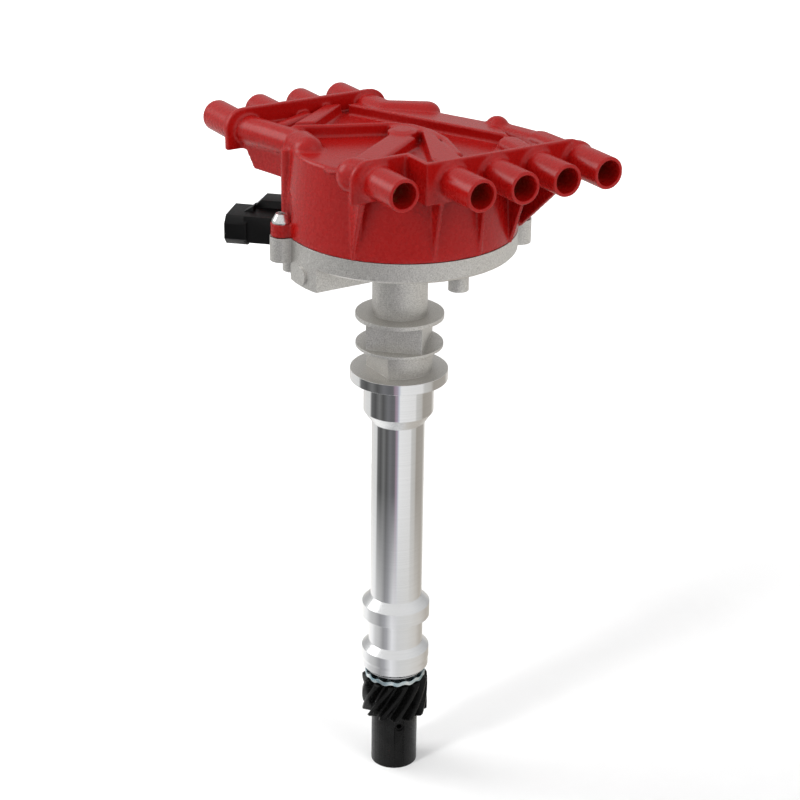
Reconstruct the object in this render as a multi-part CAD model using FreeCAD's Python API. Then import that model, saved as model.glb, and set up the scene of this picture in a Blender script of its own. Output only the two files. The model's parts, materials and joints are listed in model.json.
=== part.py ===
import FreeCAD, Part
import math
import os

from FreeCAD import Vector

os.makedirs("parts", exist_ok=True)

# Ignition distributor in millimetres. Z runs up the shaft, and z = 0 is the underside of the
# hold-down collar, which seats on the engine. X runs along the two rows of cap towers.

# Running clearances and seats
SHAFT_RUNNING_GAP = 0.05
BRUSH_RUNNING_GAP = 0.08
CAP_REGISTER_GAP = 0.10
SCREW_HOLE_GAP = 0.30
ROTOR_TIP_GAP = 0.80
VANE_GAP = 1.40
AXIAL_GAP = 0.15

# Housing below the seat: pilot, tube and two sealing bands
PILOT_R = 15.75
PILOT_LENGTH = 15.6
PILOT_CONE = 5.5
TUBE_R = 11.9
TUBE_LENGTH = 88.0
BAND_R = 15.70
BAND_CONE = 4.0
BAND_WIDTH = 6.7
GROOVE_R = 12.6
GROOVE_LENGTH = 13.6
LOW_BAND_CONE = 3.1
LOW_BAND_WIDTH = 4.9
END_R = 15.4
END_TAPER = 1.4
END_LENGTH = 4.3
END_CHAMFER = 1.3

# Housing above the seat: collar, fork block between two discs, neck and bowl
COLLAR_R = 21.9
COLLAR_THICK = 4.7
BARREL_R = 14.9
BARREL_FLAT = 11.5
CLAMP_GAP = 11.2
LOW_DISC_R = 19.55
LOW_DISC_THICK = 1.1
FORK_DEPTH = 27.6
FORK_WIDTH = 25.0
FORK_ANGLE = -131.7
FORK_GAP = 12.3
TOP_DISC_R = 19.7
TOP_DISC_THICK = 1.8
NECK_R = 12.3
NECK_TO_RIM = 40.2
BOWL_R = 50.8
BOWL_DEPTH = 5.3
RIM_HEIGHT = 8.8
BOWL_WALL = 6.3
FLOOR_THICK = 4.0
HUB_R = 17.0
HUB_DROP = 19.3
REGISTER_HEIGHT = 2.0
POST_R = 4.4
POST_DROP = 18.7
POST_RADII = [38.0, 47.2]
POST_ANGLES = [-80.9, 156.8]
RIB_DROP = 18.5
RIB_Y_LOW = -12.5
RIB_Y_HIGH = 8.0
PLUG_R = 4.0
PLUG_Y = -2.2
PLUG_DROP = 13.7
PLUG_RAISE = 0.6

# Screw lugs
LUG_ANGLES = [166.0, 341.0]
LUG_STAND = 2.5
LUG_R = 5.2
LUG_HEIGHT = 10.8
CAP_BOSS_R = 4.8
CAP_BOSS_HEIGHT = 6.0
SCREW_R = 2.2
SCREW_HEAD_R = 4.35
SCREW_HEAD_TOP_R = 2.5
SCREW_HEAD_HEIGHT = 3.9
SCREW_HEAD_BAND = 0.8
SCREW_HEAD_ROOM = 12.0
SCREW_LENGTH = 15.0
SOCKET_R = 1.7
SOCKET_DEPTH = 2.2

# Bearings and shaft
SHAFT_R = 6.23
SHAFT_RISE = 16.7
BUSHING_R = 9.0
OIL_BORE_R = 8.2
TOP_BUSHING_LENGTH = 28.0
LOW_BUSHING_LENGTH = 30.0
BUSHING_STAND = 0.6
SHIM_THICK = 1.0
SHIM_R = 13.2
WASHER_R = 14.1
WASHER_BORE_GAP = 0.3
WASHER_THICK = 1.0
WASHER_DIMPLE = 1.5
WASHER_WAVES = 4

# Drive gear
GEAR_TEETH = 13
GEAR_R = 15.45
GEAR_ROOT_R = 11.6
GEAR_FACE = 19.2
GEAR_HELIX = 35.0
GEAR_HUB_R = 10.8
GEAR_LENGTH = 46.35
GEAR_END_CHAMFER = 1.0
GEAR_TOP_LAND = 0.24
GEAR_ROOT_LAND = 0.22
PIN_R = 2.2
PIN_DEPTH = 4.6
PIN_ANGLE = -108.0
PIN_BORE_R = 1.3
PIN_INSET = 0.7
SHAFT_RECESS = 1.0
DRIVE_SLOT = 5.6
DRIVE_SLOT_DEPTH = 6.0

# Shutter wheel and position sensor
WHEEL_R = 30.0
WHEEL_THICK = 1.2
WHEEL_RISE = 10.0
WHEEL_HUB_R = 9.5
VANE_HEIGHT = 6.4
SENSOR_ANGLE = 136.8
SENSOR_LEG = 3.4
SENSOR_LEG_HALF = 7.0
SENSOR_HALF = 9.0
SENSOR_BASE_THICK = 2.0
SENSOR_LEG_HEIGHT = 7.2
SOCKET_NECK_GAP = 0.4
SOCKET_NECK_REACH = 17.2
SOCKET_NECK_DROP = 10.5
SOCKET_NECK_RISE = 1.5
SOCKET_NECK_HALF = 10.0
SHELL_OVERLAP = 1.5
SHELL_LENGTH = 10.0
SHELL_DROP = 12.1
SHELL_RISE = 1.1
SHELL_HALF = 11.2
SHELL_WALL = 1.5
SHELL_DEPTH = 8.5
SHELL_CORNER = 3.2
LATCH_HEIGHT = 2.8
LATCH_LENGTH = 6.0
LATCH_WIDTH = 5.0
BRACKET_RISE = 4.9
BRACKET_REACH = 18.2
BRACKET_BEVEL = 5.4
BRACKET_NEAR = -3.5
BRACKET_FAR = -14.0
CONNECTOR_PINS = 3
CONNECTOR_PITCH = 5.0
CONNECTOR_PIN = 1.2
CONNECTOR_PIN_LENGTH = 7.0
SENSOR_SCREW_R = 1.6
SENSOR_SCREW_HEAD_R = 2.9
SENSOR_SCREW_HEAD = 1.8
SENSOR_SCREW_LENGTH = 5.0
SENSOR_SCREW_GAP = 0.5
SENSOR_SCREW_TURN = 14.0

# Rotor
CARRIER_R = 21.0
CARRIER_THICK = 2.0
CARRIER_RISE = 1.8
ROTOR_R = 27.0
ROTOR_THICK = 4.0
ROTOR_CHAMFER = 1.0
ROTOR_HUB_R = 9.0
ROTOR_HUB_HEIGHT = 5.0
ROTOR_ARM_HALF = 6.0
ROTOR_ARM_REACH = 31.5
BLADE_HALF = 3.5
BLADE_THICK = 1.0
BLADE_TIP_GAP = 0.2
BLADE_TIP_DROP = 3.0
CONTACT_R = 3.0
CONTACT_HEIGHT = 1.6
CONTACT_CHAMFER = 0.5
ROTOR_SCREW_RADIUS = 15.0
ROTOR_SCREW_R = 1.9
ROTOR_SCREW_HEAD_R = 3.4
ROTOR_SCREW_HEAD = 2.0
ROTOR_ANGLE = 30.0

# Cap
CAP_WALL = 4.2
CAP_HEIGHT = 37.3
CAP_TOP_R = 48.2
CAP_TOP_WALL = 4.0
CAP_CEILING = 3.2
CONTACT_RING_R = 40.0
CONTACT_START = 171.0
CONTACT_POST_R = 2.4
CONTACT_POST_LENGTH = 17.0
CONTACT_SEAT = 1.4
TOWER_COUNT = 4
TOWER_PITCH = 20.7
TOWER_DROP = 0.8
TOWER_R = 6.95
TOWER_LENGTH = 22.4
TOWER_FOOT = 1.0
TOWER_BORE_R = 5.4
TOWER_BORE_DEPTH = 22.0
FRONT_FIRST_X = -9.5
BACK_FIRST_X = -49.3
COIL_X = -36.5
FLANGE_Y = 54.9
COIL_FLANGE_Y = 39.8
FLANGE_THICK = 2.6
FLANGE_DROP = 9.7
FLANGE_RISE = 8.2
FLANGE_ROUND = 8.4
FRONT_FLANGE_LEFT = 12.5
FRONT_FLANGE_RIGHT = 4.8
BACK_FLANGE_LEFT = 7.6
BACK_FLANGE_RIGHT = 10.8
COIL_FLANGE_LEFT = 11.4
TERMINAL_R = 4.7
TERMINAL_LENGTH = 8.0
TERMINAL_WALL = 0.8
BRUSH_R = 2.5
BRUSH_LENGTH = 8.0
BRUSH_LIFT = 0.05
BRUSH_CHAMFER = 0.5
BRUSH_BOSS_R = 5.6
BRUSH_BOSS_DROP = 7.0
SPRING_WIRE_R = 0.35
SPRING_SIDE_GAP = 0.3
SPRING_TURNS = 4
CENTRE_BOSS_R = 6.3
CENTRE_BOSS_RISE = 5.1
CENTRE_DISC_R = 4.3
CENTRE_DISC_RAISE = 0.5
COLUMN_R = 3.2
COLUMN_STAND = 1.3
COLUMN_TURN = 8.0
LEDGE_THICK = 0.8
LEDGE_OUTLINE = [(-43.0, -12.0), (-46.8, -14.6), (-47.7, -20.6), (-42.0, -24.0)]

# Webs and fins below the flanges
WEB_THICK = 3.0
WEB_DROP = 17.0
WEB_BEVEL_TOP = 49.8
WEB_BEVEL_FOOT = 45.2
WEB_START = -1.1
WEB_BENDS = [(-44.6, 32.0), (-43.2, 25.7), (-41.5, 18.0)]
FIN_FACES = [-14.6, 6.8, 27.2, 43.0]
FIN_DROPS = [0.0, 0.0, 0.0, 3.5]
FIN_THICK = 1.8
FIN_INSET = 0.3
COIL_FIN_TOP = [(-43.7, -39.6), (-40.4, -39.6), (-36.0, -26.0), (-41.0, -24.0)]
COIL_FIN_FOOT = [(-42.1, -29.6), (-41.3, -30.4), (-38.0, -27.0), (-41.0, -24.0)]

# Rounding of a ridge's edges as a share of its half width
SOFT_EDGE = 0.8
ROUND_EDGE = 0.65
CRISP_EDGE = 0.3

# Ridges on the deck, which carry the conductors: bends in plan, half widths and rise
RIDGE_FOOT = 2.0
CONDUIT_R = 5.6
TUBE_SHIFT = 2.3
TUBE_LAP = 3.4
TUBE_CREASE = 0.4
LOBE_R = 6.3
LOBE_LENGTH = 9.0
TUBE_BENDS = [(-43.3, 40.0), (-40.6, 29.0), (-38.4, 20.0), (-40.0, 11.0)]
LOW_RIDGE = [(-19.0, 50.0), (-36.0, 41.0)]
LOW_RIDGE_HALF = 3.0
LOW_RIDGE_RISE = 3.2
FLAT_RIDGE = [(-8.5, 52.0), (-1.0, 50.0), (-25.5, 30.0), (-34.5, 33.0)]
FLAT_RIDGE_RISE = 4.8
CREST = [(-37.0, 27.4), (-21.5, 20.0), (3.0, 10.4)]
CREST_HALF = 1.3
CREST_RISE = 5.6
PLATEAU = [(-1.0, 9.4), (3.0, 12.0), (9.6, 6.6), (11.8, -1.0), (8.0, -4.0), (0.0, 0.0)]
PLATEAU_RISE = 4.9
ARCH = [(3.0, 10.4), (8.0, 5.0), (10.6, -4.5), (9.9, -18.0), (3.4, -39.0)]
ARCH_HALF = 1.9
ARCH_RISE = 5.3
WEDGE = [(1.6, -42.0), (10.8, -1.0), (8.6, -2.0), (-11.0, -41.0)]
WEDGE_RISE = 5.3
BACK_BENDS = [(14.0, 38.5), (29.5, 28.0)]
BACK_RIDGE_HALF = 6.4
BACK_RIDGE_RISE = 6.5
LONG_CREST = [(0.4, 46.4), (36.0, -27.6)]
LONG_RIDGE_WIDTH = 18.0
LONG_RIDGE_RISE = 5.0
LONG_RIDGE_FALL = 1.8
LONG_RIDGE_END = (43.5, -6.0)
STUB_HALF = 5.7
STUB_RISE = 4.8
STUB_SHIFT = 1.2
STUB_END = -31.5
SIDE_BEND = (51.3, -29.0)
SIDE_RISE = 4.4
BALL_R = 5.5
BALL_PLACE = (44.6, -5.9)
BALL_RISE = 1.2
LINK_RISE = 3.7
COIL_RIDGE = [(-3.0, 3.2), (1.5, -9.0), (-29.5, -31.5), (-39.0, -22.5)]
COIL_RIDGE_RISE = 4.5
COIL_BEND = (-3.9, 10.6)

# Levels and places that follow from the values above, first up from the seat and then down
LOW_DISC_Z = COLLAR_THICK + CLAMP_GAP
TOP_DISC_Z = LOW_DISC_Z + LOW_DISC_THICK + FORK_GAP
BOWL_TOP = TOP_DISC_Z + TOP_DISC_THICK + NECK_TO_RIM
BOWL_FLOOR = BOWL_TOP - BOWL_DEPTH
RIM_LOW = BOWL_TOP - RIM_HEIGHT
HUB_Z = BOWL_TOP - HUB_DROP
REGISTER_R = BOWL_R - CAP_WALL - CAP_REGISTER_GAP
LUG_RADIUS = BOWL_R + LUG_STAND
SHAFT_TOP = BOWL_TOP + SHAFT_RISE
WHEEL_Z = BOWL_FLOOR + WHEEL_RISE
CARRIER_Z = WHEEL_Z + WHEEL_THICK + CARRIER_RISE
NECK_START = BOWL_R + SOCKET_NECK_GAP
NECK_END = BOWL_R + SOCKET_NECK_REACH
NECK_LOW = BOWL_TOP - SOCKET_NECK_DROP
NECK_HIGH = BOWL_TOP + SOCKET_NECK_RISE
SHELL_START = NECK_END - SHELL_OVERLAP
SHELL_END = SHELL_START + SHELL_LENGTH
SHELL_LOW = BOWL_TOP - SHELL_DROP
SHELL_HIGH = BOWL_TOP + SHELL_RISE
BRACKET_TOP = BOWL_TOP + BRACKET_RISE
BRACKET_END = BOWL_R + BRACKET_REACH
CAP_TOP = BOWL_TOP + CAP_HEIGHT
CEILING_R = CAP_TOP_R - CAP_TOP_WALL
TOWER_Z = CAP_TOP - TOWER_DROP
FLANGE_LOW = CAP_TOP - FLANGE_DROP
FLANGE_TOP = CAP_TOP + FLANGE_RISE
BAND_TOP_Z = -(PILOT_LENGTH + PILOT_CONE + TUBE_LENGTH + BAND_CONE)
GROOVE_Z = BAND_TOP_Z - BAND_WIDTH
LOW_BAND_Z = GROOVE_Z - GROOVE_LENGTH - LOW_BAND_CONE
END_Z = LOW_BAND_Z - LOW_BAND_WIDTH - END_TAPER
HOUSING_BOTTOM = END_Z - END_LENGTH
BUSHING_TOP = BOWL_FLOOR + BUSHING_STAND
SHIM_TOP = HOUSING_BOTTOM - AXIAL_GAP
WASHER_TOP = SHIM_TOP - SHIM_THICK
GEAR_TOP = WASHER_TOP - WASHER_THICK - 2 * WASHER_DIMPLE
GEAR_BOTTOM = GEAR_TOP - GEAR_LENGTH
PIN_Z = GEAR_TOP - GEAR_FACE - PIN_DEPTH
BOSS_TOP = BOWL_TOP + CAP_BOSS_HEIGHT
ROTOR_Z = CARRIER_Z + CARRIER_THICK
ROTOR_HUB_TOP = ROTOR_Z + ROTOR_THICK + ROTOR_HUB_HEIGHT
BLADE_REACH = CONTACT_RING_R - CONTACT_POST_R - ROTOR_TIP_GAP
BRUSH_Z = ROTOR_HUB_TOP + BLADE_THICK + CONTACT_HEIGHT + BRUSH_LIFT
CEILING_Z = CAP_TOP - CAP_CEILING
FLANGE_BACK = FLANGE_Y - FLANGE_THICK
COIL_FLANGE_BACK = COIL_FLANGE_Y - FLANGE_THICK
STEP_X = FRONT_FIRST_X - FRONT_FLANGE_LEFT
LAST_FRONT_X = FRONT_FIRST_X + TOWER_PITCH * (TOWER_COUNT - 1)
LAST_BACK_X = BACK_FIRST_X + TOWER_PITCH * (TOWER_COUNT - 1)
BOSS_LOW = CEILING_Z - BRUSH_BOSS_DROP


def cylinder(radius, z_low, z_high, x=0.0, y=0.0):
    return Part.makeCylinder(radius, z_high - z_low, Vector(x, y, z_low))


def ring(outer, inner, z_low, z_high):
    return cylinder(outer, z_low, z_high).cut(cylinder(inner, z_low - 1, z_high + 1))


def block(x_low, x_high, y_low, y_high, z_low, z_high):
    return Part.makeBox(x_high - x_low, y_high - y_low, z_high - z_low, Vector(x_low, y_low, z_low))


def polar(radius, angle):
    return radius * math.cos(math.radians(angle)), radius * math.sin(math.radians(angle))


def turned(shape, angle):
    copy = shape.copy()
    copy.rotate(Vector(0, 0, 0), Vector(0, 0, 1), angle)
    return copy


def face_of(points):
    return Part.Face(Part.makePolygon(points + [points[0]]))


def revolved(profile):
    # profile is a closed outline of (radius, z) pairs
    points = [Vector(radius, 0, z) for radius, z in profile]
    return face_of(points).revolve(Vector(0, 0, 0), Vector(0, 0, 1), 360)


def prism(outline, z_low, z_high):
    points = [Vector(x, y, z_low) for x, y in outline]
    return face_of(points).extrude(Vector(0, 0, z_high - z_low))


def joined(shapes):
    # one after the other, which suits faces that lie on each other
    body = shapes[0]
    for shape in shapes[1:]:
        body = body.fuse(shape)
    return body


def fused(shapes):
    return joined(shapes).removeSplitter()


def level_edges(shape, z):
    # the edges that lie in the level plane at height z
    return [e for e in shape.Edges if e.BoundBox.ZMin > z - 0.01 and e.BoundBox.ZMax < z + 0.01]


def run(points, half_width, z_low, z_high, round_top, round_low=0.0):
    # a ridge of one width along a path, with rounded ends and rounded top edges
    pieces = [cylinder(half_width, z_low, z_high, x, y) for x, y in points]
    for (x0, y0), (x1, y1) in zip(points, points[1:]):
        length = math.hypot(x1 - x0, y1 - y0)
        side = Part.makeBox(length, 2 * half_width, z_high - z_low, Vector(0, -half_width, z_low))
        side.rotate(Vector(0, 0, 0), Vector(0, 0, 1), math.degrees(math.atan2(y1 - y0, x1 - x0)))
        side.translate(Vector(x0, y0, 0))
        pieces.append(side)
    solid = fused(pieces)
    solid = solid.makeFillet(round_top, level_edges(solid, z_high))
    if round_low > 0:
        solid = solid.makeFillet(round_low, level_edges(solid, z_low))
    return solid


def raised(outline, z_low, z_high, corner):
    # a flat-topped ridge from its outline, with its top edges rounded
    solid = prism(outline, z_low, z_high)
    return solid.makeFillet(corner, level_edges(solid, z_high))


def lug_places():
    return [polar(LUG_RADIUS, angle) for angle in LUG_ANGLES]


def fork_block():
    body = block(-FORK_DEPTH / 2, FORK_DEPTH / 2, -FORK_WIDTH / 2, FORK_WIDTH / 2,
                 LOW_DISC_Z, TOP_DISC_Z + TOP_DISC_THICK)
    return turned(body, FORK_ANGLE)


def housing():
    outline = [
        (SHAFT_R + 2, HOUSING_BOTTOM),
        (END_R - END_CHAMFER, HOUSING_BOTTOM),
        (END_R, HOUSING_BOTTOM + END_CHAMFER),
        (END_R, END_Z),
        (BAND_R, END_Z + END_TAPER),
        (BAND_R, LOW_BAND_Z),
        (GROOVE_R, LOW_BAND_Z + LOW_BAND_CONE),
        (GROOVE_R, GROOVE_Z),
        (BAND_R, GROOVE_Z),
        (BAND_R, BAND_TOP_Z),
        (TUBE_R, BAND_TOP_Z + BAND_CONE),
        (TUBE_R, -(PILOT_LENGTH + PILOT_CONE)),
        (PILOT_R, -PILOT_LENGTH),
        (PILOT_R, 0),
        (COLLAR_R, 0),
        (COLLAR_R, COLLAR_THICK),
        (BARREL_R, COLLAR_THICK),
        (BARREL_R, LOW_DISC_Z),
        (LOW_DISC_R, LOW_DISC_Z),
        (LOW_DISC_R, LOW_DISC_Z + LOW_DISC_THICK),
        (NECK_R, LOW_DISC_Z + LOW_DISC_THICK),
        (NECK_R, TOP_DISC_Z),
        (TOP_DISC_R, TOP_DISC_Z),
        (TOP_DISC_R, TOP_DISC_Z + TOP_DISC_THICK),
        (NECK_R, TOP_DISC_Z + TOP_DISC_THICK),
        (NECK_R, HUB_Z),
        (HUB_R, HUB_Z + (HUB_R - NECK_R)),
        (BOWL_R - BOWL_WALL - 2, BOWL_FLOOR - FLOOR_THICK),
        (BOWL_R - 1, RIM_LOW),
        (BOWL_R, RIM_LOW + 1),
        (BOWL_R, BOWL_TOP),
        (REGISTER_R, BOWL_TOP),
        (REGISTER_R, BOWL_TOP + REGISTER_HEIGHT),
        (BOWL_R - BOWL_WALL, BOWL_TOP + REGISTER_HEIGHT),
        (BOWL_R - BOWL_WALL, BOWL_FLOOR),
        (SHAFT_R + 2, BOWL_FLOOR),
    ]
    pieces = [revolved(outline), fork_block()]
    for radius, angle in zip(POST_RADII, POST_ANGLES):
        x, y = polar(radius, angle)
        pieces.append(cylinder(POST_R, BOWL_TOP - POST_DROP, BOWL_FLOOR - 1, x, y))
    for angle in LUG_ANGLES:
        x, y = polar(LUG_RADIUS, angle)
        pieces.append(cylinder(LUG_R, BOWL_TOP - LUG_HEIGHT, BOWL_TOP, x, y))
        web = block(BOWL_R - BOWL_WALL, LUG_RADIUS, -LUG_R, LUG_R, BOWL_TOP - LUG_HEIGHT, BOWL_TOP)
        pieces.append(turned(web, angle))
    rib_low = BOWL_TOP - RIB_DROP
    rib = block(-BOWL_R - 1, -NECK_R + 2, RIB_Y_LOW, RIB_Y_HIGH, rib_low, BOWL_FLOOR - 1)
    pieces.append(rib.common(cylinder(BOWL_R, rib_low - 1, BOWL_FLOOR)))
    plug_start = Vector(-BOWL_R - PLUG_RAISE, PLUG_Y, BOWL_TOP - PLUG_DROP)
    pieces.append(Part.makeCylinder(PLUG_R, PLUG_R, plug_start, Vector(1, 0, 0)))
    body = fused(pieces)
    cuts = [
        cylinder(BUSHING_R, HOUSING_BOTTOM - 1, HOUSING_BOTTOM + LOW_BUSHING_LENGTH),
        cylinder(OIL_BORE_R, HOUSING_BOTTOM, BOWL_FLOOR),
        cylinder(BUSHING_R, BUSHING_TOP - TOP_BUSHING_LENGTH, BOWL_FLOOR + 1),
        block(-BARREL_R - 1, -BARREL_FLAT, -BARREL_R, BARREL_R, COLLAR_THICK, LOW_DISC_Z),
    ]
    for x, y in lug_places():
        cuts.append(cylinder(SCREW_R, BOSS_TOP - SCREW_LENGTH - 1, BOWL_TOP + 1, x, y))
    notch = block(BOWL_R - BOWL_WALL - 1, BOWL_R + 1, -SENSOR_HALF, SENSOR_HALF,
                  BOWL_FLOOR, BOWL_TOP + REGISTER_HEIGHT + 1)
    cuts.append(turned(notch, SENSOR_ANGLE))
    for place in sensor_screw_places():
        cuts.append(cylinder(SENSOR_SCREW_R, BOWL_FLOOR - SENSOR_SCREW_LENGTH, BOWL_FLOOR + 1, *place))
    return body.cut(fused(cuts))


def bushing(z_low, z_high):
    return ring(BUSHING_R, SHAFT_R + SHAFT_RUNNING_GAP, z_low, z_high)


def shaft():
    low = GEAR_BOTTOM + SHAFT_RECESS
    body = cylinder(SHAFT_R, low, SHAFT_TOP)
    slot = block(-SHAFT_R - 1, SHAFT_R + 1, -DRIVE_SLOT / 2, DRIVE_SLOT / 2,
                 low - 1, low + DRIVE_SLOT_DEPTH)
    return body.cut(fused([slot, pin_hole()]))


def pin_hole():
    direction = Vector(*polar(1, PIN_ANGLE), 0)
    start = Vector(0, 0, PIN_Z) - direction * (GEAR_HUB_R + 1)
    return Part.makeCylinder(PIN_R, 2 * GEAR_HUB_R + 2, start, direction)


def roll_pin():
    direction = Vector(*polar(1, PIN_ANGLE), 0)
    reach = GEAR_HUB_R - PIN_INSET
    start = Vector(0, 0, PIN_Z) - direction * reach
    outer = Part.makeCylinder(PIN_R, 2 * reach, start, direction)
    inner = Part.makeCylinder(PIN_BORE_R, 2 * reach + 2, start - direction, direction)
    return outer.cut(inner)


def tooth_outline(z, twist):
    # one closed outline of all the teeth, from straight flanks, root arcs and tip arcs
    step = 360.0 / GEAR_TEETH
    edges = []
    for tooth in range(GEAR_TEETH):
        start = tooth * step + twist
        root_end = start + step * GEAR_ROOT_LAND
        tip_start = start + step * 0.5 * (1 + GEAR_ROOT_LAND - GEAR_TOP_LAND)
        tip_end = tip_start + step * GEAR_TOP_LAND
        places = [
            (GEAR_ROOT_R, start), (GEAR_ROOT_R, (start + root_end) / 2), (GEAR_ROOT_R, root_end),
            (GEAR_R, tip_start), (GEAR_R, (tip_start + tip_end) / 2), (GEAR_R, tip_end),
            (GEAR_ROOT_R, start + step),
        ]
        points = [Vector(*polar(radius, angle), z) for radius, angle in places]
        edges.append(Part.Arc(points[0], points[1], points[2]).toShape())
        edges.append(Part.makeLine(points[2], points[3]))
        edges.append(Part.Arc(points[3], points[4], points[5]).toShape())
        edges.append(Part.makeLine(points[5], points[6]))
    return Part.Wire(edges)


def helical_teeth():
    twist_per_mm = math.degrees(math.tan(math.radians(GEAR_HELIX)) / GEAR_R)
    spine = Part.Wire(Part.makeLine(Vector(0, 0, GEAR_TOP - GEAR_FACE), Vector(0, 0, GEAR_TOP)))
    guide = Part.makeHelix(360.0 / twist_per_mm, GEAR_FACE, GEAR_R)
    guide.translate(Vector(0, 0, GEAR_TOP - GEAR_FACE))
    sweep = Part.BRepOffsetAPI.MakePipeShell(spine)
    sweep.setAuxiliarySpine(guide, True, 0)
    sweep.add(tooth_outline(GEAR_TOP - GEAR_FACE, 0))
    sweep.build()
    sweep.makeSolid()
    return sweep.shape()


def drive_gear():
    # the ends of the teeth are bevelled by a turned envelope
    envelope = revolved([
        (0, GEAR_TOP),
        (GEAR_R - GEAR_END_CHAMFER, GEAR_TOP),
        (GEAR_R + 0.1, GEAR_TOP - GEAR_END_CHAMFER),
        (GEAR_R + 0.1, GEAR_TOP - GEAR_FACE + GEAR_END_CHAMFER),
        (GEAR_HUB_R, GEAR_TOP - GEAR_FACE),
        (0, GEAR_TOP - GEAR_FACE),
    ])
    teeth = helical_teeth().common(envelope)
    hub = cylinder(GEAR_HUB_R, GEAR_BOTTOM, GEAR_TOP)
    body = teeth.fuse(hub)
    bore = cylinder(SHAFT_R, GEAR_BOTTOM - 1, GEAR_TOP + 1)
    return body.cut(fused([bore, pin_hole()]))


def shim_washer():
    return ring(SHIM_R, SHAFT_R + WASHER_BORE_GAP, SHIM_TOP - SHIM_THICK, SHIM_TOP)


def dimpled_washer():
    # a flat ring with a dimple pressed up and a dimple pressed down in turn
    middle = WASHER_TOP - WASHER_DIMPLE
    pieces = [ring(WASHER_R, SHAFT_R + WASHER_BORE_GAP, middle - WASHER_THICK, middle)]
    dimple_r = (WASHER_R - SHAFT_R) / 4
    for index in range(2 * WASHER_WAVES):
        x, y = polar((WASHER_R + SHAFT_R) / 2, index * 180.0 / WASHER_WAVES)
        foot = middle if index % 2 else middle - WASHER_THICK - WASHER_DIMPLE
        pieces.append(cylinder(dimple_r, foot, foot + WASHER_DIMPLE, x, y))
    return fused(pieces)


def shutter_wheel():
    disc = cylinder(WHEEL_R, WHEEL_Z, WHEEL_Z + WHEEL_THICK)
    hub = cylinder(WHEEL_HUB_R, BUSHING_TOP + AXIAL_GAP, WHEEL_Z + WHEEL_THICK)
    vane = ring(WHEEL_R, WHEEL_R - WHEEL_THICK, WHEEL_Z - VANE_HEIGHT, WHEEL_Z)
    half = block(-WHEEL_R - 1, WHEEL_R + 1, -WHEEL_R - 1, 0, WHEEL_Z - VANE_HEIGHT - 1, WHEEL_Z + 1)
    body = fused([disc, hub, vane.cut(half)])
    return body.cut(cylinder(SHAFT_R, BOWL_FLOOR, WHEEL_Z + WHEEL_THICK + 1))


def sensor_screw_places():
    radius = WHEEL_R - WHEEL_THICK - VANE_GAP - SENSOR_LEG - SENSOR_SCREW_HEAD_R - SENSOR_SCREW_GAP
    return [polar(radius, SENSOR_ANGLE + side * SENSOR_SCREW_TURN) for side in (-1, 1)]


def shell_block(x_low, x_high, grow):
    # the connector's outline across, with bevelled corners
    half = SHELL_HALF + grow
    low = SHELL_LOW - grow
    high = SHELL_HIGH + grow
    corner = SHELL_CORNER
    outline = [
        (-half, low + corner), (-half + corner, low), (half - corner, low), (half, low + corner),
        (half, high - corner), (half - corner, high), (-half + corner, high), (-half, high - corner),
    ]
    points = [Vector(x_low, y, z) for y, z in outline]
    return face_of(points).extrude(Vector(x_high - x_low, 0, 0))


def position_sensor():
    slot_in = WHEEL_R - WHEEL_THICK - VANE_GAP
    slot_out = WHEEL_R + VANE_GAP
    base_in = slot_in - SENSOR_LEG - 2 * SENSOR_SCREW_HEAD_R - 3 * SENSOR_SCREW_GAP
    base_top = BOWL_FLOOR + SENSOR_BASE_THICK
    leg_top = BOWL_FLOOR + SENSOR_LEG_HEIGHT
    bracket = Part.Face(Part.makePolygon([
        Vector(NECK_START, 0, NECK_LOW),
        Vector(BRACKET_END, 0, NECK_LOW),
        Vector(BRACKET_END, 0, BRACKET_TOP - BRACKET_BEVEL),
        Vector(BRACKET_END - BRACKET_BEVEL, 0, BRACKET_TOP),
        Vector(NECK_START, 0, BRACKET_TOP),
        Vector(NECK_START, 0, NECK_LOW),
    ])).extrude(Vector(0, BRACKET_NEAR - BRACKET_FAR, 0))
    bracket.translate(Vector(0, BRACKET_FAR, 0))
    latch_start = SHELL_START - 1
    latch = Part.Face(Part.makePolygon([
        Vector(latch_start, 0, SHELL_HIGH - 1),
        Vector(latch_start + LATCH_LENGTH, 0, SHELL_HIGH - 1),
        Vector(latch_start, 0, SHELL_HIGH + LATCH_HEIGHT),
        Vector(latch_start, 0, SHELL_HIGH - 1),
    ])).extrude(Vector(0, LATCH_WIDTH, 0))
    latch.translate(Vector(0, -LATCH_WIDTH / 2, 0))
    pieces = [
        block(base_in, BOWL_R - BOWL_WALL, -SENSOR_HALF, SENSOR_HALF, BOWL_FLOOR, base_top),
        block(slot_in - SENSOR_LEG, slot_in, -SENSOR_LEG_HALF, SENSOR_LEG_HALF, BOWL_FLOOR, leg_top),
        block(slot_out, slot_out + SENSOR_LEG, -SENSOR_LEG_HALF, SENSOR_LEG_HALF,
              BOWL_FLOOR, leg_top),
        block(slot_out, NECK_START + 1, -SENSOR_HALF, SENSOR_HALF, BOWL_FLOOR, BOWL_TOP),
        block(NECK_START, NECK_END, -SOCKET_NECK_HALF, SOCKET_NECK_HALF, NECK_LOW, NECK_HIGH),
        shell_block(SHELL_START, SHELL_END, 0),
        bracket,
        latch,
    ]
    body = fused([turned(piece, SENSOR_ANGLE) for piece in pieces])
    cavity = turned(shell_block(SHELL_END - SHELL_DEPTH, SHELL_END + 1, -SHELL_WALL), SENSOR_ANGLE)
    cuts = [cavity, connector_pins()]
    for place in sensor_screw_places():
        cuts.append(cylinder(SENSOR_SCREW_R, BOWL_FLOOR - 1, base_top + 1, *place))
    return body.cut(fused(cuts))


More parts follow.
